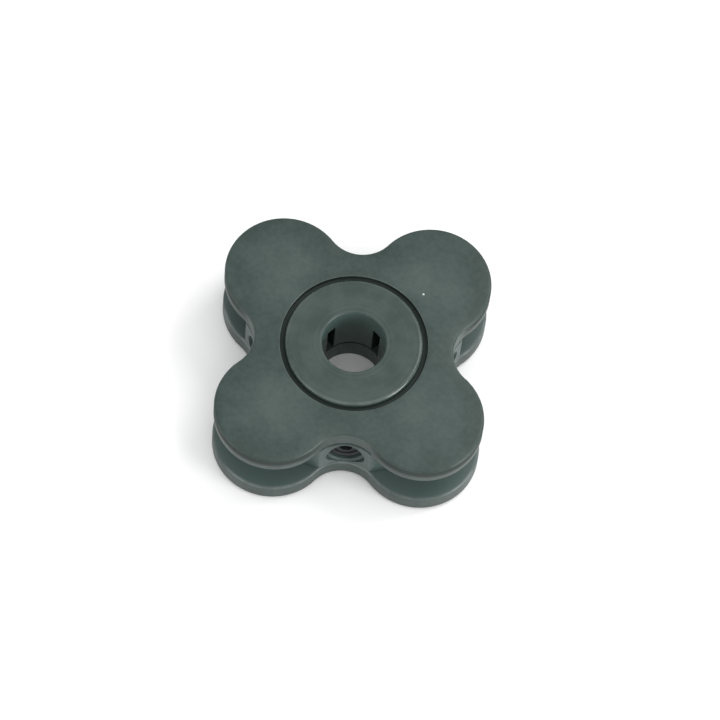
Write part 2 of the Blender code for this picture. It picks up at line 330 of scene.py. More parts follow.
def lobe_group():
    """1 at the middle of each lobe, fading to 0 at the falloff distance from it."""
    tree, given, out = new_tree(
        "Lobe Rub", "ShaderNodeTree",
        [("Lobe Offset", FLOAT, 9 * MM), ("Falloff", FLOAT, 7 * MM)], [("Mask", FLOAT)],
    )
    folded = parts_of(tree, vector_maths(tree, "ABSOLUTE", own_place(tree)))
    across = maths(tree, "SUBTRACT", folded["X"], given["Lobe Offset"])
    along = maths(tree, "SUBTRACT", folded["Y"], given["Lobe Offset"])
    away = vector_maths(tree, "LENGTH", joined(tree, X=across, Y=along))
    away = maths(tree, "DIVIDE", away, given["Falloff"])
    tree.links.new(smooth_step(tree, away, 1.0, 0.0), out["Mask"])
    return tree


lathe_marks = lathe_group()
bright_nicks = nick_group()
lobe_sheen_and_rub = lobe_group()
print("made", lathe_marks.name, bright_nicks.name, "and", lobe_sheen_and_rub.name)

# %% [markdown]
# ## Sections with rounded corners
#
# Every main piece of the coupling was turned or milled, so each has one section that stays the same
# all the way round. A section is a closed outline of corners: how far across, how high, and how
# round. Each rounded corner becomes a short arc, and convex ones are marked, because that is where
# black finishes wear.


# %% Round the corners of a section
def rounded_section(corners, steps=6):
    """Points (across, height, exposed) of a closed outline given as (across, height, rounding)."""
    points = []
    befores, afters = corners[-1:] + corners[:-1], corners[1:] + corners[:1]
    for before, corner, after in zip(befores, corners, afters):
        place = Vector(corner[:2])
        back = (Vector(before[:2]) - place).normalized()
        ahead = (Vector(after[:2]) - place).normalized()
        if not corner[2]:
            points.append((place.x, place.y, 0.0))
            continue
        half_angle = back.angle(ahead) / 2
        centre = place + (back + ahead).normalized() * corner[2] / math.sin(half_angle)
        reach = corner[2] / math.tan(half_angle)
        start = place + back * reach - centre
        end = place + ahead * reach - centre
        convex = back.x * ahead.y - back.y * ahead.x < 0
        for step in range(steps + 1):
            point = centre + start.normalized().slerp(end.normalized(), step / steps) * corner[2]
            points.append((point.x, point.y, float(convex) * math.sin(math.pi * step / steps)))
    return points


def new_object(name, data):
    obj = bpy.data.objects.new(name, data)
    bpy.context.scene.collection.objects.link(obj)
    return obj


def section_object(name, rows):
    """Keeps (radius, inset, height, share, exposed) rows as the vertices of a mesh with no faces."""
    mesh = bpy.data.meshes.new(name)
    mesh.from_pydata([row[:3] for row in rows], [], [])
    for place, label in ((3, "share"), (4, "exposed")):
        marks = mesh.attributes.new(label, "FLOAT", "POINT")
        marks.data.foreach_set("value", [row[place] for row in rows])
    return new_object(name, mesh)


def turned_rows(corners, steps=6):
    points = rounded_section(corners, steps)
    return [(across, 0, height, 0, exposed) for across, height, exposed in points]


square_corners = [(0, 0, 1), (0, 9, 1), (9, 9, 1), (9, 0, 1)]
print("a rounded square has", len(rounded_section(square_corners)), "points")

# %% [markdown]
# ## One tree for every ring
#
# The plates have a lobed outline, the disc a bitten circle, and the hubs a plain one. All of them
# follow one rule: in each quarter, an arc round a lobe's centre, then an arc round a waist's centre,
# from where one circle crosses or touches the other. The tree bends a flat grid to that rule. Each
# column of the grid is one place round the piece, and each row is one point of the section, which
# sits on a circle where its share is 0, on the outline where it is 1, and between the two elsewhere.


# %% Build the ring tree
MERGE_BELOW = 0.001 * MM


def add_outline(tree, given, column):
    """The outline's point and outward direction at each column of the grid."""
    offset, radius = given["Lobe Offset"], given["Lobe Radius"]
    far, waist = given["Waist Centre"], given["Waist Radius"]
    quarter_steps = maths(tree, "ADD", given["Lobe Steps"], given["Waist Steps"])
    column_middle = maths(tree, "ADD", column, 0.5)
    quarter = maths(tree, "FLOOR", maths(tree, "DIVIDE", column_middle, quarter_steps))
    step = maths(tree, "SUBTRACT", column, maths(tree, "MULTIPLY", quarter, quarter_steps))

    def square(value):
        return maths(tree, "MULTIPLY", value, value)

    across = maths(tree, "SUBTRACT", far, offset)
    gap_squared = maths(tree, "ADD", square(across), square(offset))
    gap = maths(tree, "SQRT", gap_squared)

    def crossing(near, other):
        """The angle at one circle's centre between the other's centre and where the circles meet."""
        top = maths(tree, "SUBTRACT", maths(tree, "ADD", gap_squared, square(near)), square(other))
        bottom = maths(tree, "MULTIPLY", maths(tree, "MULTIPLY", gap, near), 2.0)
        cosine = maths(tree, "MINIMUM", maths(tree, "DIVIDE", top, bottom), 1.0)
        return maths(tree, "ARCCOSINE", cosine)

    below = maths(tree, "MULTIPLY", offset, -1.0)
    lobe_start = maths(tree, "ADD", maths(tree, "ARCTAN2", below, across), crossing(radius, waist))
    lobe_sweep = maths(tree, "SUBTRACT", math.pi / 2, maths(tree, "MULTIPLY", lobe_start, 2.0))
    lobe_share = maths(tree, "DIVIDE", step, given["Lobe Steps"])
    lobe_angle = maths(tree, "ADD", lobe_start, maths(tree, "MULTIPLY", lobe_sweep, lobe_share))

    inward = maths(tree, "MULTIPLY", across, -1.0)
    waist_facing = maths(tree, "ARCTAN2", inward, offset)
    waist_start = maths(tree, "ADD", waist_facing, crossing(waist, radius))
    waist_sweep = maths(tree, "ADD", math.pi, maths(tree, "MULTIPLY", waist_start, 2.0))
    past_lobe = maths(tree, "SUBTRACT", step, given["Lobe Steps"])
    waist_share = maths(tree, "DIVIDE", past_lobe, given["Waist Steps"])
    swept = maths(tree, "MULTIPLY", waist_sweep, waist_share)
    waist_angle = maths(tree, "SUBTRACT", waist_start, swept)

    def arc(centre_x, centre_y, size, angle, outward):
        direction = joined(tree, X=maths(tree, "COSINE", angle), Y=maths(tree, "SINE", angle))
        centre = joined(tree, X=centre_x, Y=centre_y)
        point = vector_maths(tree, "ADD", centre, scaled(tree, direction, size))
        return point, scaled(tree, direction, outward)

    on_lobe = maths(tree, "LESS_THAN", step, maths(tree, "SUBTRACT", given["Lobe Steps"], 0.5))
    turn = maths(tree, "MULTIPLY", quarter, math.pi / 2)
    lobe = arc(offset, offset, radius, lobe_angle, 1.0)
    waist_arc = arc(0.0, far, waist, waist_angle, -1.0)
    both = []
    for along_lobe, along_waist in zip(lobe, waist_arc):
        chosen = node(
            tree, "GeometryNodeSwitch", {"input_type": "VECTOR"},
            {"Switch": on_lobe, "False": along_waist, "True": along_lobe},
        )
        turned = node(
            tree, "ShaderNodeVectorRotate", {"rotation_type": "Z_AXIS"},
            {"Vector": chosen.outputs[0], "Angle": turn},
        )
        both.append(turned.outputs[0])
    return both


def geometry_of(tree, source):
    return node(tree, "GeometryNodeObjectInfo", None, {"Object": source}).outputs["Geometry"]


def with_material(tree, geometry, finish):
    """The geometry as one real mesh, in the given finish."""
    real = node(tree, "GeometryNodeRealizeInstances", None, {"Geometry": geometry}).outputs[0]
    sockets = {"Geometry": real, "Material": finish}
    return node(tree, "GeometryNodeSetMaterial", None, sockets).outputs[0]


def ring_tree():
    tree, given, out = new_tree(
        "Lobed Ring", "GeometryNodeTree",
        [
            ("Lobe Offset", FLOAT, 0.0),
            ("Lobe Radius", FLOAT, 10 * MM),
            ("Waist Centre", FLOAT, 20 * MM),
            ("Waist Radius", FLOAT, 0.0),
            ("Lobe Steps", COUNT, 48),
            ("Waist Steps", COUNT, 0),
            ("Section", OBJECT, None),
            ("Material", MATERIAL, None),
        ],
        [("Geometry", GEOMETRY)],
    )
    section = geometry_of(tree, given["Section"])
    sizes = node(tree, "GeometryNodeAttributeDomainSize", None, {"Geometry": section})
    rows = sizes.outputs["Point Count"]
    quarter_steps = maths(tree, "ADD", given["Lobe Steps"], given["Waist Steps"])
    columns = maths(tree, "MULTIPLY", quarter_steps, 4.0)
    # A grid of one more column and row than the ring needs closes it both ways.
    grid_columns = maths(tree, "ADD", columns, 1.0)
    grid_rows = maths(tree, "ADD", rows, 1.0)
    grid = node(
        tree, "GeometryNodeMeshGrid", None,
        {"Size X": 1.0, "Size Y": 1.0, "Vertices X": grid_columns, "Vertices Y": grid_rows},
    )
    index = node(tree, "GeometryNodeInputIndex").outputs[0]
    column = maths(tree, "FLOOR", maths(tree, "DIVIDE", maths(tree, "ADD", index, 0.5), grid_rows))
    row = maths(tree, "SUBTRACT", index, maths(tree, "MULTIPLY", column, grid_rows))
    row = maths(tree, "ROUND", maths(tree, "MODULO", row, rows))
    column = maths(tree, "MODULO", column, columns)
    point, facing = add_outline(tree, given, column)

    def from_section(kind, value):
        sampled = node(
            tree, "GeometryNodeSampleIndex", {"data_type": kind, "domain": "POINT"},
            {"Geometry": section, "Value": value, "Index": row},
        )
        return sampled.outputs[0]

    def section_value(label):
        settings = {"data_type": "FLOAT"}
        named = node(tree, "GeometryNodeInputNamedAttribute", settings, {"Name": label})
        return from_section("FLOAT", named.outputs[0])

    position = node(tree, "GeometryNodeInputPosition").outputs[0]
    place = parts_of(tree, from_section("FLOAT_VECTOR", position))
    on_circle = scaled(tree, vector_maths(tree, "NORMALIZE", point), place["X"])
    on_outline = vector_maths(tree, "SUBTRACT", point, scaled(tree, facing, place["Y"]))
    flat = node(
        tree, "ShaderNodeMix", {"data_type": "VECTOR"},
        {"Factor": section_value("share"), 4: on_circle, 5: on_outline},
    ).outputs[1]
    bent = vector_maths(tree, "ADD", flat, joined(tree, Z=place["Z"]))
    made = node(
        tree, "GeometryNodeSetPosition", None,
        {"Geometry": grid.outputs["Mesh"], "Position": bent},
    ).outputs[0]
    made = node(
        tree, "GeometryNodeStoreNamedAttribute", {"data_type": "FLOAT", "domain": "POINT"},
        {"Geometry": made, "Name": "exposed", "Value": section_value("exposed")},
    ).outputs[0]
    made = node(
        tree, "GeometryNodeMergeByDistance", None, {"Geometry": made, "Distance": MERGE_BELOW}
    ).outputs[0]
    tree.links.new(with_material(tree, made, given["Material"]), out["Geometry"])
    return tree


lobed_ring = ring_tree()
print("the ring tree has", len(lobed_ring.nodes), "nodes")


# %% Make a piece from a tree
SMOOTH_BELOW = 35  # degrees between two faces


def add_tree(obj, tree, values):
    """Adds the tree as a modifier, with each named input set through its identifier."""
    step = obj.modifiers.new(tree.name, "NODES")
    step.node_group = tree
    for item in tree.interface.items_tree:
        if item.item_type == "SOCKET" and item.in_out == "INPUT" and item.name in values:
            step[item.identifier] = values[item.name]


def bake(obj):
    """Turns the object and its modifiers into one plain mesh with its faces outwards."""
    bpy.context.view_layer.update()
    graph = bpy.context.evaluated_depsgraph_get()
    mesh = bpy.data.meshes.new_from_object(obj.evaluated_get(graph))
    obj.modifiers.clear()
    obj.data = mesh
    mesh.name = obj.name
    form = bmesh.new()
    form.from_mesh(mesh)
    bmesh.ops.remove_doubles(form, verts=form.verts, dist=MERGE_BELOW / 2)
    bmesh.ops.recalc_face_normals(form, faces=form.faces)
    for face in form.faces:
        face.material_index = 0
    form.to_mesh(mesh)
    form.free()
    # A cutter has no finish, so its faces take the one that the piece already has.
    finishes = [finish for finish in mesh.materials if finish]
    mesh.materials.clear()
    for finish in finishes[:1]:
        mesh.materials.append(finish)
    mesh.shade_smooth()
    mesh.set_sharp_from_angle(angle=math.radians(SMOOTH_BELOW))
    return obj


def make_ring(name, rows, finish, **sizes):
    """A closed ring with this section. With no sizes it is round."""
    section = section_object(name + "_section", rows)
    obj = new_object(name, bpy.data.meshes.new(name))
    values = {label.replace("_", " ").title(): size for label, size in sizes.items()}
    add_tree(obj, lobed_ring, {"Section": section, "Material": finish, **values})
    bake(obj)
    bpy.data.objects.remove(section, do_unlink=True)
    return obj


def cut(obj, cutters, solver="EXACT"):
    """Takes the cutters out of the object, one after another, and removes them."""
    for cutter in cutters:
        step = obj.modifiers.new(cutter.name, "BOOLEAN")
        step.operation = "DIFFERENCE"
        step.solver = solver
        step.object = cutter
    bake(obj)
    for cutter in cutters:
        bpy.data.objects.remove(cutter, do_unlink=True)
    return obj


def soften(obj, width, segments=4, degrees=40):
    """Rounds every edge where the faces meet more sharply than this."""
    step = obj.modifiers.new("softened_edges", "BEVEL")
    step.width = width
    step.segments = segments
    step.limit_method = "ANGLE"
    step.angle_limit = math.radians(degrees)
    return bake(obj)


print("ready to make pieces")

# %% [markdown]
# ## Finishes
#
# The plates, hubs and disc are aluminium with a black anodised skin. The skin is satin rather than
# metallic, because the light that reaches the eye comes mostly off the oxide. It has a faint green
# cast and drifts a little from patch to patch.
#
# The middle of each lobe is paler: partly rubbed, and partly a painted sheen where a slightly domed
# face catches more light. The lobes are worn along the edges beside the disc and round the recess.
# The recess itself and a band under the lobes' upper edge get painted shade, and the faces that look
# at the disc are painted paler, as painted light in the gap between the plates.


# %% Build a finish
def colour_mix(tree, factor, first, second):
    made = node(tree, "ShaderNodeMix", {"data_type": "RGBA"}, {"Factor": factor})
    for place, value in ((6, first), (7, second)):
        if isinstance(value, bpy.types.NodeSocket):
            tree.links.new(value, made.inputs[place])
        else:
            made.inputs[place].default_value = (*value, 1)
    return made.outputs[2]


def group(tree, effect, **values):
    sockets = {label.replace("_", " ").title(): value for label, value in values.items()}
    return node(tree, "ShaderNodeGroup", {"node_tree": effect}, sockets).outputs


def new_material(name, **settings):
    finish = bpy.data.materials.new(name)
    finish.use_nodes = True
    shader = finish.node_tree.nodes["Principled BSDF"]
    for label, value in settings.items():
        shader.inputs[label.replace("_", " ").title()].default_value = value
    return finish, finish.node_tree, shader


def bumped(tree, shader, height, distance):
    bump = node(tree, "ShaderNodeBump", None, {"Height": height, "Distance": distance})
    tree.links.new(bump.outputs[0], shader.inputs["Normal"])


def exposed_mark(tree):
    """The piece's own mark: above 0 on worn edges, below 0 on a band of painted shade."""
    return node(tree, "ShaderNodeAttribute", {"attribute_name": "exposed"}).outputs["Fac"]


print("finish helpers ready")

# %% The plates' finish
PLATE_DARK = (0.011, 0.025, 0.021)
PLATE_LIGHT = (0.038, 0.060, 0.053)
WORN_EDGE = (0.22, 0.25, 0.245)
NICK = (0.45, 0.48, 0.46)
# Painted shade: the dark of the recess round the boss, and of a band under the lobes' upper edge.
PAINTED_SHADE = (0.008, 0.017, 0.014)
# Painted light: a paler colour for the faces that look at the disc, lifting the shade in the gap
# between the plates.
PAINTED_GAP_LIGHT = (0.055, 0.083, 0.076)
OXIDE_SPECULAR = 0.42
CLOUD_TONE = 0.35
FINE_TONE = 0.25
SHEEN_AND_RUB_TONE = 0.55
SHEEN_AND_RUB_REACH = 0.95 * lobe_radius
LEAST_WEAR = 0.12
CLOUD_WEAR = 0.35
PLATE_ROUGHNESS = 0.46
RUB_POLISH = 0.06
MATT_ROUGHNESS = 0.35
GRAIN_DEPTH = 0.006 * MM
# Where the band of painted shade fades in, from the waists out onto the lobes.
SHADE_BAND_BEGINS = 1.06 * waist_reach
SHADE_BAND_FULL = 1.3 * waist_reach


def between_plates(tree):
    """1 on the faces that look at the floating disc, 0 elsewhere."""
    height = parts_of(tree, own_place(tree))["Z"]
    from_middle = maths(tree, "ABSOLUTE", maths(tree, "SUBTRACT", height, mid_height))
    return maths(tree, "LESS_THAN", from_middle, plate_low.z - mid_height + CLOSE)


def in_groove(tree):
    """1 on the floor and wall of the recess round the boss, 0 elsewhere."""
    return maths(tree, "LESS_THAN", from_axis(tree), recess_radius + CLOSE)


def out_on_lobes(tree):
    """1 on the lobes, fading to 0 in the waists."""
    return smooth_step(tree, from_axis(tree), SHADE_BAND_BEGINS, SHADE_BAND_FULL)


def plate_finish():
    finish, tree, shader = new_material("black_plate_anodising")
    shader.inputs["Specular IOR Level"].default_value = OXIDE_SPECULAR
    cloud = group(tree, clouding, patch_size=3.5 * MM)["Mask"]
    fine = group(tree, clouding, patch_size=0.6 * MM)["Mask"]
    # A paler middle on each lobe: painted sheen where a domed face catches more light, and partly
    # rubbing.
    sheen_and_rub = group(tree, lobe_sheen_and_rub, lobe_offset=lobe_offset, falloff=SHEEN_AND_RUB_REACH)["Mask"]
    cloudy = maths(tree, "MULTIPLY", cloud, CLOUD_TONE)
    mottle = maths(tree, "ADD", cloudy, maths(tree, "MULTIPLY", fine, FINE_TONE))
    tone = maths(tree, "ADD", mottle, maths(tree, "MULTIPLY", sheen_and_rub, SHEEN_AND_RUB_TONE), clamp=True)
    base = colour_mix(tree, tone, PLATE_DARK, PLATE_LIGHT)
    # Painted light on the faces inside the gap between the plates.
    base = colour_mix(tree, between_plates(tree), base, PAINTED_GAP_LIGHT)
    groove = in_groove(tree)
    # Painted shade in the recess round the boss.
    base = colour_mix(tree, groove, base, PAINTED_SHADE)
    exposed = exposed_mark(tree)
    patchy = maths(tree, "ADD", LEAST_WEAR, maths(tree, "MULTIPLY", cloud, CLOUD_WEAR))
    wear = maths(tree, "MULTIPLY", maths(tree, "MAXIMUM", exposed, 0.0), patchy)
    # Painted shade: a darker band under the lobes' upper edge, where the mark is below 0.
    marked_shade = maths(tree, "MAXIMUM", maths(tree, "MULTIPLY", exposed, -1.0), 0.0)
    painted_shade_band = maths(tree, "MULTIPLY", marked_shade, out_on_lobes(tree))
    worn = colour_mix(tree, wear, colour_mix(tree, painted_shade_band, base, PAINTED_SHADE), WORN_EDGE)
    nicks = group(tree, bright_nicks, spacing=3.6 * MM, nick_size=0.035, share=0.3)["Mask"]
    tree.links.new(colour_mix(tree, nicks, worn, NICK), shader.inputs["Base Color"])
    polish = maths(tree, "MULTIPLY", tone, RUB_POLISH)
    rough = maths(tree, "SUBTRACT", PLATE_ROUGHNESS, polish)
    matt = maths(tree, "MULTIPLY", maths(tree, "MAXIMUM", painted_shade_band, groove), MATT_ROUGHNESS)
    tree.links.new(maths(tree, "ADD", rough, matt), shader.inputs["Roughness"])
    grain = group(tree, blasted_grain, grain_size=0.16 * MM)["Height"]
    bumped(tree, shader, grain, GRAIN_DEPTH)
    return finish


black_plate = plate_finish()
print("made", black_plate.name)

# %% [markdown]
# The hub and the disc are turned, so their faces carry fine rings round the axis. The rings are only
# micrometres deep: they break a highlight up without showing as grooves. The wall of each bore is
# painted paler than the faces: painted light, that lifts the shade down in the bore.


# %% Hub and disc finishes
RING_DEPTH = 0.004 * MM
TURNED_ROUGHNESS = 0.40
CLOUD_ROUGHNESS = 0.08
EDGE_POLISH = 0.24
LEAST_EDGE_WEAR = 0.4


def turned_finish(name, dark, light, feed, contrast, wear_share, wall_radius, bore_painted_light):
    finish, tree, shader = new_material(name)
    shader.inputs["Specular IOR Level"].default_value = OXIDE_SPECULAR
    cloud = group(tree, clouding, patch_size=3.0 * MM)["Mask"]
    marks = group(tree, lathe_marks, feed=feed)
    ring_tone = maths(tree, "MULTIPLY", maths(tree, "SUBTRACT", marks["Tone"], 0.5), contrast)
    tone = maths(tree, "ADD", cloud, ring_tone, clamp=True)
    base = colour_mix(tree, tone, dark, light)
    # The bore's wall takes painted light: a paler colour that lifts the shade in the bore.
    base = colour_mix(tree, in_bore(tree, wall_radius), base, bore_painted_light)
    exposed = exposed_mark(tree)
    patchy = maths(tree, "MULTIPLY", maths(tree, "ADD", cloud, LEAST_EDGE_WEAR), wear_share)
    wear = maths(tree, "MULTIPLY", exposed, patchy)
    tree.links.new(colour_mix(tree, wear, base, WORN_EDGE), shader.inputs["Base Color"])
    rough = maths(tree, "ADD", TURNED_ROUGHNESS, maths(tree, "MULTIPLY", cloud, CLOUD_ROUGHNESS))
    polished = maths(tree, "SUBTRACT", rough, maths(tree, "MULTIPLY", exposed, EDGE_POLISH))
    tree.links.new(polished, shader.inputs["Roughness"])
    bumped(tree, shader, marks["Height"], RING_DEPTH)
    return finish


def in_bore(tree, wall_radius):
    """1 on the wall of the bore, 0 elsewhere."""
    return maths(tree, "LESS_THAN", from_axis(tree), wall_radius + 2 * CLOSE)


black_hub = turned_finish(
    "black_hub_anodising", dark=(0.016, 0.032, 0.026), light=(0.030, 0.048, 0.041),
    feed=0.14 * MM, contrast=1.2, wear_share=0.15,
    wall_radius=bore_radius, bore_painted_light=(0.055, 0.090, 0.080),
)
# The disc's bore takes a much paler painted light than the hub's.
black_disc = turned_finish(
    "black_disc_anodising", dark=(0.028, 0.048, 0.043), light=(0.050, 0.076, 0.070),
    feed=0.2 * MM, contrast=0.8, wear_share=0.4,
    wall_radius=disc_inner, bore_painted_light=(0.20, 0.28, 0.26),
)
print("made", black_hub.name, "and", black_disc.name)

# %% [markdown]
# The drive pins are blackened steel and the bushes are a black bearing plastic. Little of them shows:
# the pins' ends with their hexagon sockets, and the rims of the bushes, down in the disc's holes.


# %% Pin and bush finishes
def plain_finish(name, dark, light, patch, smoothest, spread, grain_size, grain_depth, **settings):
    """A clouded finish: where the cloud is dense, it is lighter and rougher by the spread."""
    finish, tree, shader = new_material(name, **settings)
    cloud = group(tree, clouding, patch_size=patch)["Mask"]
    tree.links.new(colour_mix(tree, cloud, dark, light), shader.inputs["Base Color"])
    rough = maths(tree, "ADD", smoothest, maths(tree, "MULTIPLY", cloud, spread))
    tree.links.new(rough, shader.inputs["Roughness"])
    grain = group(tree, blasted_grain, grain_size=grain_size)["Height"]
    bumped(tree, shader, grain, grain_depth)
    return finish


black_steel = plain_finish(
    "black_oxide_steel", dark=(0.05, 0.055, 0.057), light=(0.09, 0.096, 0.1), patch=0.9 * MM,
    smoothest=0.3, spread=0.14, grain_size=0.1 * MM, grain_depth=0.003 * MM, metallic=0.85,
)
black_polymer = plain_finish(
    "black_bearing_polymer", dark=(0.018, 0.019, 0.02), light=(0.03, 0.032, 0.033),
    patch=1.2 * MM, smoothest=0.48, spread=0.12, grain_size=0.18 * MM, grain_depth=0.005 * MM,
)
print("made", black_steel.name, "and", black_polymer.name)

# %% [markdown]
# ## The lobed plates
#
# Each plate is milled from sheet: four lobes, with a waist between each pair, a bored seat for the
# hub, and a shallow recess round it. The section runs up the seat, over the recess, across the face
# and round the outer edge. Its face has many rows, so that the shading stays true between a circle
# on one side and a lobed outline on the other. It falls away very slightly towards the lobes' tips,
# as a polished face does, so that the light drifts across it.

# %% Make the upper plate
FACE_ROWS = 14
FACE_CROWN = 0.15 * MM
# The band of painted shade on the lobes' outer wall: where it starts, how it fades in, and where it
# ends under the rounding.
SHADE_BAND_FROM = 0.34  # a share of the plate's thickness
SHADE_BAND_FADE = 0.7 * MM
SHADE_BAND_TO = 0.75  # a share of the rounding of the edge
RECESS_FILLET = 0.12 * MM
RECESS_EDGE = 0.07 * MM
SEAT_CHAMFER = 0.1 * MM


def plate_rows():
    """The plate's section: shares run from 0 on the recess to 1 on the outline."""
    top, bottom = plate_high.z, plate_low.z
    corners = [
        (seat_radius, bottom, SEAT_CHAMFER),
        (half_width, bottom, edge_round),
        (half_width, top - FACE_CROWN, edge_round),
        (recess_radius, top, RECESS_EDGE),
        (recess_radius, recess_floor, RECESS_FILLET),
        (seat_radius, recess_floor, 0),
    ]
    rows = []
    middle = (recess_radius + half_width) / 2
    shade_band_from = bottom + SHADE_BAND_FROM * (top - bottom)
    shade_band_to = top - FACE_CROWN - SHADE_BAND_TO * edge_round
    for across, height, exposed in rounded_section(corners, steps=8):
        share = float(across > middle)
        # The upper half of the lobes' outer edge is marked -1 up to the top rounding, for a band of
        # painted shade.
        if share and height > (top + bottom) / 2:
            exposed = -1.0 if height < shade_band_to else 0.0
        row = (0 if share else across, half_width - across if share else 0, height, share, exposed)
        if rows and rows[-1][3] != share:
            rows += face_rows(rows[-1], row)
        # Two rows fade the band of painted shade in, from its start up the wall.
        elif rows and share and exposed < 0 <= rows[-1][4]:
            rows += [(0, 0, shade_band_from, 1, 0.0), (0, 0, shade_band_from + SHADE_BAND_FADE, 1, -1.0)]
        rows.append(row)
    return rows


def face_rows(start, end):
    """Rows across a flat face, between one on a circle and one on the outline."""
    across = max(start[0], end[0])
    inset = max(start[1], end[1])
    shares = [start[3] + (end[3] - start[3]) * step / FACE_ROWS for step in range(1, FACE_ROWS)]
    inner, outer = (start[2], end[2]) if end[3] else (end[2], start[2])
    fall = outer - inner
    return [(across, inset, inner + fall * share**2, share, 0.0) for share in shares]


upper_plate = make_ring(
    "upper_lobed_plate", plate_rows(), black_plate,
    lobe_offset=lobe_offset, lobe_radius=lobe_radius, waist_centre=waist_centre,
    waist_radius=waist_radius, lobe_steps=72, waist_steps=24,
)
print(upper_plate.name, len(upper_plate.data.polygons), "faces")

# %% [markdown]
# ## The turned hubs
#
# A hub is turned as one piece: the boss that stands just proud of the plate, and a bored ring behind
# it. Two gaps cut the ring into ears, and each ear is drilled for a drive pin. The gaps are square
# prisms on edge, so the ears end at slanting faces that leave room for the other hub's ears. The
# boss's edge is a little rounder than the model's, so that it catches the light.

# %% Make the upper hub
HUB_STEPS = 48
EXTRA_ROUND = 1.7
BOSS_EDGE_ROUND = EXTRA_ROUND * boss_round
HUB_EDGE = 0.05 * MM
EAR_EDGE = 0.12 * MM
AXIS_GAP = 0.0001 * MM  # a ring can't reach its own axis, so a solid starts this far out
PRESS_CLEARANCE = 0.02 * MM


def hub_rows():
    top, shoulder, tip = hub_high.z, plate_low.z, hub_low.z
    corners = [
        (bore_radius, tip, EAR_EDGE),
        (ear_radius, tip, EAR_EDGE),
        (ear_radius, shoulder, 0),
        (boss_radius, shoulder, HUB_EDGE),
        (boss_radius, top, BOSS_EDGE_ROUND),
        (bore_radius + bore_chamfer, top, HUB_EDGE),
        (bore_radius, top - bore_chamfer, HUB_EDGE),
    ]
    return turned_rows(corners)


def ear_gap_cutter(side):
    """A square prism on edge that opens the bored ring towards one side along X."""
    across = 4 * ear_radius
    height = 2 * (plate_low.z - hub_low.z)
    form = bmesh.new()
    bmesh.ops.create_cube(form, size=1)
    bmesh.ops.scale(form, vec=(across, across, height), verts=form.verts)
    bmesh.ops.rotate(form, matrix=Matrix.Rotation(math.pi / 4, 3, "Z"), verts=form.verts)
    out_to = side * (across - ear_gap) / math.sqrt(2)
    bmesh.ops.translate(form, vec=(out_to, 0, plate_low.z - height / 2), verts=form.verts)
    mesh = bpy.data.meshes.new("ear_gap")
    form.to_mesh(mesh)
    form.free()
    return new_object("ear_gap", mesh)


def drill(name, radius, start, end, turn, steps=24, mouth=None):
    """A round cutter along X between two distances from the bore's axis, turned about the axis."""
    profile = [(AXIS_GAP, start), (radius, start), *(mouth or [(radius, end)]), (AXIS_GAP, end)]
    rows = [(across, 0, height, 0, 0.0) for across, height in profile]
    cutter = make_ring(name, rows, None, lobe_steps=steps)
    close_ends(cutter)
    lie_down = Matrix.Rotation(math.pi / 2, 4, "Y")
    place = Matrix.Translation((0, 0, mid_height)) @ Matrix.Rotation(turn, 4, "Z")
    cutter.data.transform(place @ lie_down)
    return cutter


def close_ends(obj):
    """Merges the tiny rings on a solid's axis into single points."""
    form = bmesh.new()
    form.from_mesh(obj.data)
    bmesh.ops.remove_doubles(form, verts=form.verts, dist=MERGE_BELOW)
    bmesh.ops.recalc_face_normals(form, faces=form.faces)
    form.to_mesh(obj.data)
    form.free()


upper_hub = make_ring("upper_turned_hub", hub_rows(), black_hub, lobe_steps=HUB_STEPS)
cut(upper_hub, [ear_gap_cutter(1), ear_gap_cutter(-1)])
pin_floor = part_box("drive_pin_back")[0].y - PRESS_CLEARANCE
pin_hole_radius = pin_radius + PRESS_CLEARANCE
cut(upper_hub, [
    drill("pin_hole", pin_hole_radius, pin_floor, 2 * ear_radius, turn)
    for turn in (math.pi / 2, -math.pi / 2)
])
print(upper_hub.name, len(upper_hub.data.polygons), "faces")

# %% [markdown]
# ## The floating disc
#
# The disc is a ring bored clear of the hubs' ears. The plates' waists bite into its rim, so that all
# three are flush there, and a bush hole runs out through each bite. The bites meet the rim at real
# corners. The same tree makes them, because it finds where the two circles cross, and a bevel then
# rounds every corner at once. The holes come last, so that their mouths stay crisp.

# %% Make the disc
DISC_EDGE_ROUND = 0.25 * MM
HOLE_STEPS = 16
MOUTH_CHAMFER = 0.25 * MM
hole_radius = bush_radius + running_clearance

disc_rows = [
    (disc_inner, 0, disc_low.z, 0, 0.0), (disc_inner, 0, disc_high.z, 0, 0.0),
    (0, 0, disc_high.z, 1, 0.0), (0, 0, disc_low.z, 1, 0.0),
]
floating_disc = make_ring(
    "floating_ring", disc_rows, black_disc,
    lobe_radius=disc_radius, waist_centre=waist_centre, waist_radius=waist_radius,
    lobe_steps=24, waist_steps=10,
)
soften(floating_disc, DISC_EDGE_ROUND)
mouth_radius = hole_radius + MOUTH_CHAMFER
past_rim = 2 * disc_radius
mouth = [
    (hole_radius, waist_reach - MOUTH_CHAMFER),
    (mouth_radius, waist_reach),
    (mouth_radius, past_rim),
]
cut(floating_disc, [
    drill("bush_hole", hole_radius, ear_radius, past_rim, quarter * math.pi / 2, HOLE_STEPS, mouth)
    for quarter in range(4)
], "MANIFOLD")
print(floating_disc.name, len(floating_disc.data.polygons), "faces")

# %% [markdown]
# ## Pins and bushes
#
# The coupling has two pairs of pins and two pairs of bushes. Both pieces of a pair are the same, half
# a turn apart round the bore, so a tree makes the second from the first. Each pair is one mesh,
# because both its pieces always move together.


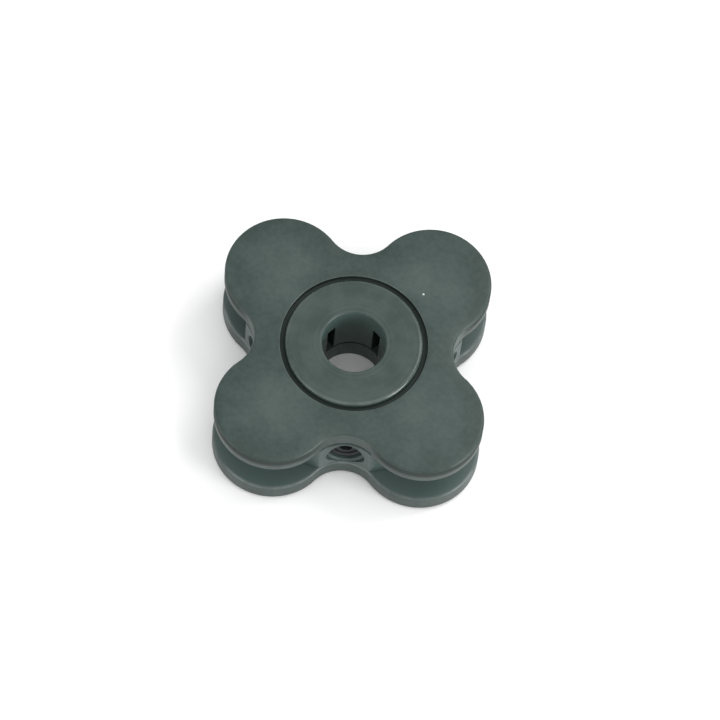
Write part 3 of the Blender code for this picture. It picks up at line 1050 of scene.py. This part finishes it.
# %% Build the opposite pair tree
def pair_tree():
    tree, given, out = new_tree(
        "Opposite Pair", "GeometryNodeTree",
        [
            ("Piece", OBJECT, None),
            ("Turn", FLOAT, 0.0),
            ("Count", COUNT, 2),
            ("Material", MATERIAL, None),
        ],
        [("Geometry", GEOMETRY)],
    )
    piece = geometry_of(tree, given["Piece"])
    points = node(tree, "GeometryNodePoints", None, {"Count": given["Count"]}).outputs[0]
    index = node(tree, "GeometryNodeInputIndex").outputs[0]
    apart = maths(tree, "DIVIDE", 2 * math.pi, given["Count"])
    angle = maths(tree, "ADD", given["Turn"], maths(tree, "MULTIPLY", index, apart))
    made = node(
        tree, "GeometryNodeInstanceOnPoints", None,
        {"Points": points, "Instance": piece, "Rotation": joined(tree, Z=angle)},
    ).outputs[0]
    tree.links.new(with_material(tree, made, given["Material"]), out["Geometry"])
    return tree


opposite_pair = pair_tree()


def make_pair(name, piece, turn, finish):
    obj = new_object(name, bpy.data.meshes.new(name))
    add_tree(obj, opposite_pair, {"Piece": piece, "Turn": turn, "Material": finish})
    return bake(obj)


print("made", opposite_pair.name)

# %% [markdown]
# A drive pin is a short rod with rounded ends and a hexagon socket in the outer one. The bush round
# it is a plain tube. Both are made lying along X, at the height of the pins, and then paired.

# %% Make one pin and one bush
PIN_END_ROUND = 0.15 * MM
BUSH_EDGE = 0.12 * MM
PIN_RING_STEPS = 14
SOCKET_ACROSS_FLATS = 1.5 * MM
SOCKET_DEPTH = 1.3 * MM
DRILL_POINT = 0.25 * SOCKET_ACROSS_FLATS
lying = Matrix.Translation((0, 0, mid_height)) @ Matrix.Rotation(math.pi / 2, 4, "Y")

pin_rows = turned_rows([
    (AXIS_GAP, pin_low.x, 0),
    (pin_radius, pin_low.x, PIN_END_ROUND),
    (pin_radius, pin_high.x, PIN_END_ROUND),
    (AXIS_GAP, pin_high.x, 0),
])
one_pin = make_ring("one_pin", pin_rows, black_steel, lobe_steps=PIN_RING_STEPS)
close_ends(one_pin)


def hexagon_cutter():
    """A hexagonal prism with a shallow cone at its floor, as the drilled start of a socket leaves."""
    form = bmesh.new()
    corner = SOCKET_ACROSS_FLATS / math.sqrt(3)
    bmesh.ops.create_cone(
        form, cap_ends=True, segments=6, radius1=corner, radius2=corner, depth=2 * SOCKET_DEPTH
    )
    floor = [face for face in form.faces if face.normal.z < -0.9]
    tip = bmesh.ops.poke(form, faces=floor)["verts"][0]
    tip.co.z -= DRILL_POINT
    mesh = bpy.data.meshes.new("hexagon_socket")
    form.to_mesh(mesh)
    form.free()
    mesh.transform(Matrix.Translation((0, 0, pin_high.x)))
    return new_object("hexagon_socket", mesh)


cut(one_pin, [hexagon_cutter()])
one_pin.data.transform(lying)

bush_rows = turned_rows([
    (pin_radius + running_clearance, bush_low.x, BUSH_EDGE / 2),
    (bush_radius, bush_low.x, BUSH_EDGE),
    (bush_radius, bush_high.x, BUSH_EDGE),
    (pin_radius + running_clearance, bush_high.x, BUSH_EDGE / 2),
], steps=4)
one_bush = make_ring("one_bush", bush_rows, black_polymer, lobe_steps=PIN_RING_STEPS)
one_bush.data.transform(lying)
print("pin", len(one_pin.data.polygons), "faces, bush", len(one_bush.data.polygons), "faces")

# %% Make the pairs
lower_pins = make_pair("lower_drive_pins", one_pin, 0.0, black_steel)
upper_pins = make_pair("upper_drive_pins", one_pin, math.pi / 2, black_steel)
lower_bushes = make_pair("lower_bush_pair", one_bush, 0.0, black_polymer)
upper_bushes = make_pair("upper_bush_pair", one_bush, math.pi / 2, black_polymer)
for helper in (one_pin, one_bush):
    bpy.data.objects.remove(helper, do_unlink=True)
print("made four pairs")

# %% [markdown]
# ## The lower half
#
# The lower plate and hub are the upper ones turned over, half a turn about the diagonal between the
# X and Y axes. That puts their ears along X and leaves their faces pointing outwards, which a mirror
# wouldn't. The band of painted shade isn't carried over, so its marks are raised to 0.

# %% Turn copies over
turn_over = Matrix(((0, 1, 0, 0), (1, 0, 0, 0), (0, 0, -1, 2 * mid_height), (0, 0, 0, 1)))


def turned_over(name, piece):
    mesh = piece.data.copy()
    mesh.name = name
    mesh.transform(turn_over)
    for mark in mesh.attributes["exposed"].data:
        mark.value = max(mark.value, 0.0)
    return new_object(name, mesh)


lower_plate = turned_over("lower_lobed_plate", upper_plate)
lower_hub = turned_over("lower_turned_hub", upper_hub)
print("turned over", lower_plate.name, "and", lower_hub.name)

# %% [markdown]
# ## What each piece rides on
#
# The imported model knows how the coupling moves. Each piece is tied to one of its bodies, and stands
# for that body's own plain shapes, which then aren't shown.

# %% Tie the pieces to the bodies
rides = [
    (upper_plate, "upper_hub_body", "black_plate", ["upper_flange"]),
    (upper_hub, "upper_hub_body", "black_hub", ["upper_hub"]),
    (upper_pins, "upper_hub_body", "black_steel", ["drive_pin_front", "drive_pin_back"]),
    (upper_bushes, "upper_bushes", "black_polymer", ["bush_front", "bush_back"]),
    (floating_disc, "disc_body", "black_disc", ["floating_disc"]),
    (lower_bushes, "lower_bushes", "black_polymer", ["bush_left", "bush_right"]),
    (lower_pins, "lower_hub_body", "black_steel", ["drive_pin_left", "drive_pin_right"]),
    (lower_hub, "lower_hub_body", "black_hub", ["lower_hub"]),
    (lower_plate, "lower_hub_body", "black_plate", ["lower_flange"]),
]
for piece, body, slot, nodes in rides:
    flat = piece.modifiers.new("true_flats", "WEIGHTED_NORMAL")
    flat.keep_sharp = True
    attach(piece, body)
    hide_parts(*nodes)
    print(piece.name, "rides on", body)

# %% [markdown]
# ## Floor, light and camera
#
# The coupling stands on a plain white floor. A soft lamp low on the right does most of the work, a
# weaker one fills from the front left, a broad one overhead keeps the flat faces even, and one behind
# on the right lights the far edges. The sky is a plain white, which fills the shadows.

# %% Floor and sky
FLOOR_SIZE = 12.0
SKY_STRENGTH = 0.9


def floor_finish():
    finish, tree, shader = new_material("white_floor", roughness=0.7)
    cloud = group(tree, clouding, patch_size=60 * MM)["Mask"]
    white = colour_mix(tree, cloud, (0.88, 0.88, 0.88), (0.9, 0.9, 0.9))
    tree.links.new(white, shader.inputs["Base Color"])
    shader.inputs["Specular IOR Level"].default_value = 0.1
    return finish


floor_mesh = bpy.data.meshes.new("floor")
half = FLOOR_SIZE / 2
floor_corners = [(-half, -half, 0), (half, -half, 0), (half, half, 0), (-half, half, 0)]
floor_mesh.from_pydata(floor_corners, [], [(0, 1, 2, 3)])
floor_mesh.materials.append(floor_finish())
floor = new_object("floor", floor_mesh)
floor.location.z = cad_box[0].z
floor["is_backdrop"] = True

world = bpy.data.worlds.new("white_studio")
world.use_nodes = True
sky = world.node_tree.nodes["Background"].inputs
sky["Color"].default_value = (1, 1, 1, 1)
sky["Strength"].default_value = SKY_STRENGTH
bpy.context.scene.world = world
bpy.context.scene.view_settings.view_transform = "Standard"
print("floor at", floor.location.z)


# %% Lamps
def soft_lamp(name, azimuth, elevation, distance, size, power):
    """A square lamp that faces the coupling. Azimuth 0 is in front, and 90 is on the right."""
    lamp = bpy.data.lights.new(name, "AREA")
    lamp.shape = "SQUARE"
    lamp.size = size
    lamp.energy = power
    around, up = math.radians(azimuth), math.radians(elevation)
    away = Vector((math.sin(around) * math.cos(up), -math.cos(around) * math.cos(up), math.sin(up)))
    obj = new_object(name, lamp)
    obj.location = Vector((0, 0, mid_height)) + away * distance
    obj.rotation_euler = away.to_track_quat("Z", "Y").to_euler()


soft_lamp("key_right", 62, 18, 0.8, 0.35, 4.0)
soft_lamp("fill_left", -60, 25, 0.8, 0.45, 1.2)
soft_lamp("overhead", 20, 78, 1.0, 0.8, 2.2)
soft_lamp("back_right", 125, 52, 0.9, 0.4, 3.0)
print("four lamps")

# %% Camera
CAMERA_AZIMUTH = -2.787
CAMERA_ELEVATION = 65.274
CAMERA_ROLL = 6.915
CAMERA_DISTANCE = 565.4 * MM
LENS = 229.5
MOVE_RIGHT = 0.746 * MM
MOVE_UP = -2.09 * MM

camera = new_object("camera", bpy.data.cameras.new("camera"))
bpy.context.scene.camera = camera
camera.data.lens = LENS
camera.data.sensor_width = 36
camera.data.clip_start = 0.01
camera.data.clip_end = 50
around, up = math.radians(CAMERA_AZIMUTH), math.radians(CAMERA_ELEVATION)
forward = Vector((-math.sin(around) * math.cos(up), math.cos(around) * math.cos(up), -math.sin(up)))
level = forward.cross(Vector((0, 0, 1))).normalized()
upright = level.cross(forward)
roll = Matrix.Rotation(math.radians(CAMERA_ROLL), 3, -forward)
right, top = roll @ level, roll @ upright
target = Vector((0, 0, plate_high.z)) + right * MOVE_RIGHT + top * MOVE_UP
camera.location = target - forward * CAMERA_DISTANCE
camera.rotation_euler = Matrix((right, top, -forward)).transposed().to_euler()
print("camera at", [round(value, 4) for value in camera.location])

# %% Sizes, and the end
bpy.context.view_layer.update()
for cad_corner, corner in zip(cad_box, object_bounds()):
    print("model", [round(v / MM, 3) for v in cad_corner], "looks", [round(v / MM, 3) for v in corner])
